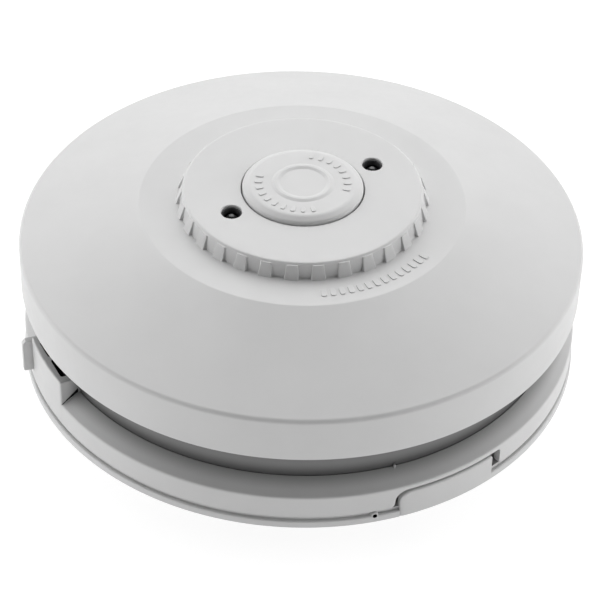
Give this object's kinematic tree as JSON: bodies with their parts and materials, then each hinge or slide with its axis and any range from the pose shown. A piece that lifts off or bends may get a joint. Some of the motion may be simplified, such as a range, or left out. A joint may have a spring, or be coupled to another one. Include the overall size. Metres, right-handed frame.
{
  "type": "smoke detector",
  "caption": "Round ceiling smoke alarm: a domed head with a central test button and ribbed disc, a smoke gap all round, and a screw-fixed mounting plate.",
  "frame": {"origin": "centre of the mounting plate's back face, which lies on the ceiling or wall", "axes": "+Z out of the ceiling towards the room, through the test button; -Y towards the side with the cable panel"},
  "size_m": [0.1402, 0.1402, 0.049],
  "materials": {
    "cover_white": "satin moulded white",
    "housing_grey": "matt moulded grey",
    "button_white": "satin moulded white",
    "seal_foam": "closed-cell foam",
    "terminal_plastic": "moulded polyamide",
    "resistor_ceramic": "ceramic tube",
    "board_laminate": "green solder mask",
    "chamber_black": "light-absorbing black",
    "screen_steel": "fine woven screen",
    "clear_lens": "clear moulded epoxy",
    "smoked_plastic": "smoked clear plastic",
    "contact_brass": "bright",
    "fastener_steel": "zinc plated",
    "film_capacitor": "moulded box",
    "chip_black": "moulded epoxy",
    "capacitor_sleeve": "shrink sleeve",
    "copper_winding": "enamelled copper",
    "varistor_coat": "dipped epoxy",
    "cell_sleeve": "shrink sleeve"
  },
  "bodies": {
    "base": {"mounting_plate": "cover_white", "terminal_block": "terminal_plastic", "terminal_clamp_live": "contact_brass", "terminal_clamp_neutral": "contact_brass", "terminal_clamp_link": "contact_brass", "terminal_screw_live": "fastener_steel", "terminal_screw_neutral": "fastener_steel", "terminal_screw_link": "fastener_steel"},
    "seal": {"dust_seal": "seal_foam"},
    "head": {"rear_housing": "housing_grey", "bayonet_ring": "cover_white", "circuit_board": "board_laminate", "board_screw_1": "fastener_steel", "board_screw_2": "fastener_steel", "board_screw_3": "fastener_steel", "contact_pin_live": "contact_brass", "contact_pin_neutral": "contact_brass", "contact_pin_link": "contact_brass", "chamber_base": "chamber_black", "insect_screen": "screen_steel", "chamber_cover": "chamber_black", "infrared_led": "clear_lens", "photodiode": "smoked_plastic", "photodiode_lens": "clear_lens", "sounder_case": "chamber_black", "piezo_disc": "contact_brass", "sounder_lid": "chamber_black", "piezo_contact_1": "fastener_steel", "piezo_contact_2": "fastener_steel", "film_capacitor": "film_capacitor", "bridge_rectifier": "chip_black", "microcontroller": "chip_black", "test_switch": "chip_black", "smoothing_capacitor_1": "capacitor_sleeve", "smoothing_capacitor_2": "capacitor_sleeve", "sounder_inductor": "copper_winding", "surge_varistor": "varistor_coat", "fusible_resistor": "resistor_ceramic", "backup_cell": "cell_sleeve", "cell_clip_rear": "fastener_steel", "cell_clip_front": "fastener_steel", "alarm_led": "clear_lens", "alarm_light_pipe": "smoked_plastic", "power_led": "clear_lens", "power_light_pipe": "smoked_plastic", "front_cover": "cover_white", "cover_screw_1": "fastener_steel", "cover_screw_2": "fastener_steel", "cover_screw_3": "fastener_steel", "button_spring": "fastener_steel"},
    "button": {"test_button": "button_white"},
    "latch": {"release_latch": "cover_white"}
  },
  "joints": [
    {"name": "head_lift", "type": "slide", "parent": "base", "child": "seal", "axis": [0, 0, 1], "range_m": [0, 0.03]},
    {"name": "head_turn", "type": "hinge", "parent": "seal", "child": "head", "pos_m": [0, 0, 0], "axis": [0, 0, 1], "range_deg": [-2.2, 0]},
    {"name": "button_press", "type": "slide", "parent": "head", "child": "button", "axis": [0, 0, -1], "range_m": [0, 0.0012], "stiffness_N_per_m": 400, "springref_m": -0.003, "deforming": ["button_spring"]},
    {"name": "latch_press", "type": "slide", "parent": "head", "child": "latch", "axis": [0.9432, 0.3322, 0], "range_m": [0, 0.0016], "stiffness_N_per_m": 600, "springref_m": -0.002}
  ]
}
